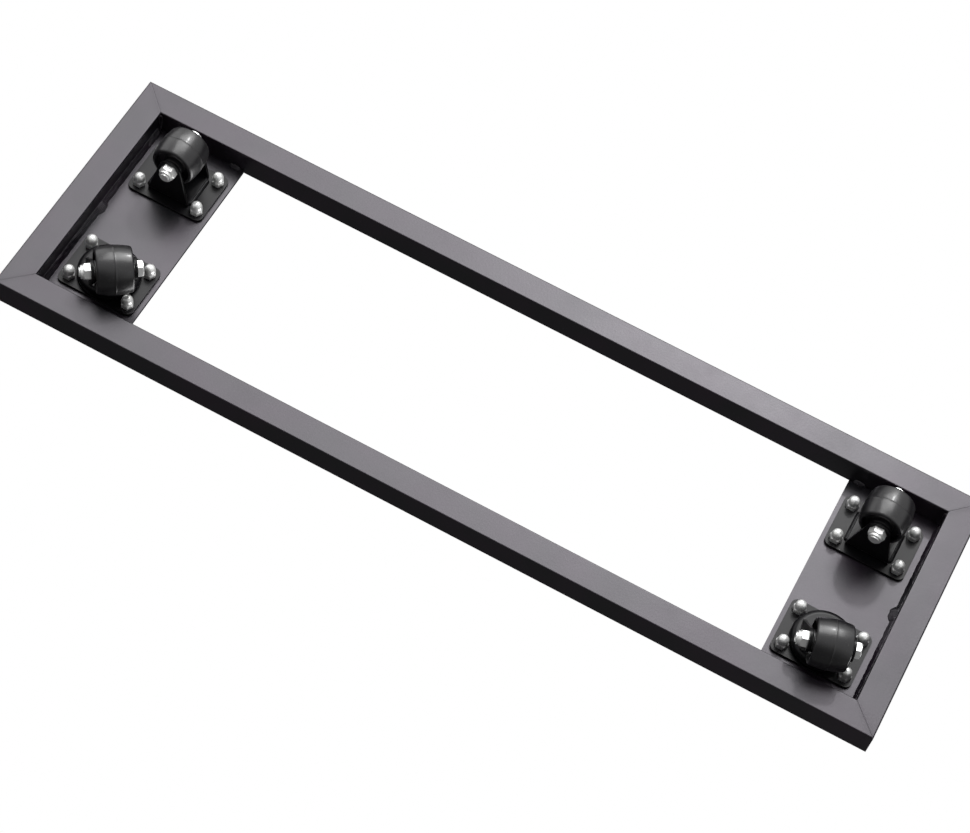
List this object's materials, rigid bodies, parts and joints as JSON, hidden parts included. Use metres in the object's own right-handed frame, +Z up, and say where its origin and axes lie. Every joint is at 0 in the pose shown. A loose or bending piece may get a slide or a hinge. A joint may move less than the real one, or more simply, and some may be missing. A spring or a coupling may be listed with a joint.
{
  "type": "plant caddy",
  "caption": "Low rectangular plant caddy: mitred square tube frame with a deck plate at each end, fixed casters along one side and swivel casters along the other.",
  "frame": {"origin": "middle of the frame's footprint, on the floor under the wheels", "axes": "+X along the length, +Y across the width from the fixed casters towards the swivel casters, +Z up; the caddy stands on its wheels at Z = 0"},
  "size_m": [0.8, 0.25, 0.065],
  "materials": {
    "powder_coat": "black powder coat, satin, fine orange peel",
    "caster_steel": "pressed steel, black coated, satin",
    "wheel_plastic": "moulded black nylon, soft sheen",
    "zinc_plate": "bright zinc plating",
    "plain_steel": "turned or ground bare steel, lightly oiled"
  },
  "bodies": {
    "frame": {"front_rail": "powder_coat", "back_rail": "powder_coat", "left_end_rail": "powder_coat", "right_end_rail": "powder_coat", "left_deck_plate": "powder_coat", "right_deck_plate": "powder_coat", "corner_welds": "powder_coat", "deck_tack_welds": "powder_coat", "fixed_plate_left": "caster_steel", "fixed_fork_left": "caster_steel", "fixed_axle_bolt_left": "zinc_plate", "fixed_axle_nut_left": "zinc_plate", "fixed_axle_sleeve_left": "plain_steel", "fixed_mounting_bolts_left": "zinc_plate", "fixed_dome_nuts_left": "zinc_plate", "fixed_plate_right": "caster_steel", "fixed_fork_right": "caster_steel", "fixed_axle_bolt_right": "zinc_plate", "fixed_axle_nut_right": "zinc_plate", "fixed_axle_sleeve_right": "plain_steel", "fixed_mounting_bolts_right": "zinc_plate", "fixed_dome_nuts_right": "zinc_plate", "swivel_plate_left": "caster_steel", "swivel_mounting_bolts_left": "zinc_plate", "swivel_dome_nuts_left": "zinc_plate", "swivel_kingpin_left": "plain_steel", "swivel_plate_right": "caster_steel", "swivel_mounting_bolts_right": "zinc_plate", "swivel_dome_nuts_right": "zinc_plate", "swivel_kingpin_right": "plain_steel"},
    "swivel_left": {"swivel_fork_left": "caster_steel", "swivel_axle_bolt_left": "zinc_plate", "swivel_axle_nut_left": "zinc_plate", "swivel_axle_sleeve_left": "plain_steel", "swivel_balls_left": "plain_steel"},
    "swivel_right": {"swivel_fork_right": "caster_steel", "swivel_axle_bolt_right": "zinc_plate", "swivel_axle_nut_right": "zinc_plate", "swivel_axle_sleeve_right": "plain_steel", "swivel_balls_right": "plain_steel"},
    "wheel_fixed_left": {"fixed_wheel_left": "wheel_plastic"},
    "wheel_fixed_right": {"fixed_wheel_right": "wheel_plastic"},
    "wheel_swivel_left": {"swivel_wheel_left": "wheel_plastic"},
    "wheel_swivel_right": {"swivel_wheel_right": "wheel_plastic"}
  },
  "joints": [
    {"name": "left_swivel", "type": "hinge", "parent": "frame", "child": "swivel_left", "pos_m": [-0.331, 0.057, 0.054], "axis": [0, 0, 1], "continuous": true},
    {"name": "left_swivel_wheel_spin", "type": "hinge", "parent": "swivel_left", "child": "wheel_swivel_left", "pos_m": [-0.31776, 0.07457, 0.021], "axis": [-0.7986, 0.6018, 0], "continuous": true},
    {"name": "right_swivel", "type": "hinge", "parent": "frame", "child": "swivel_right", "pos_m": [0.331, 0.057, 0.054], "axis": [0, 0, 1], "continuous": true},
    {"name": "right_swivel_wheel_spin", "type": "hinge", "parent": "swivel_right", "child": "wheel_swivel_right", "pos_m": [0.33743, 0.07804, 0.021], "axis": [-0.9563, 0.2924, 0], "continuous": true},
    {"name": "left_fixed_wheel_spin", "type": "hinge", "parent": "frame", "child": "wheel_fixed_left", "pos_m": [-0.331, -0.057, 0.021], "axis": [0, 1, 0], "continuous": true},
    {"name": "right_fixed_wheel_spin", "type": "hinge", "parent": "frame", "child": "wheel_fixed_right", "pos_m": [0.331, -0.057, 0.021], "axis": [0, 1, 0], "continuous": true}
  ]
}
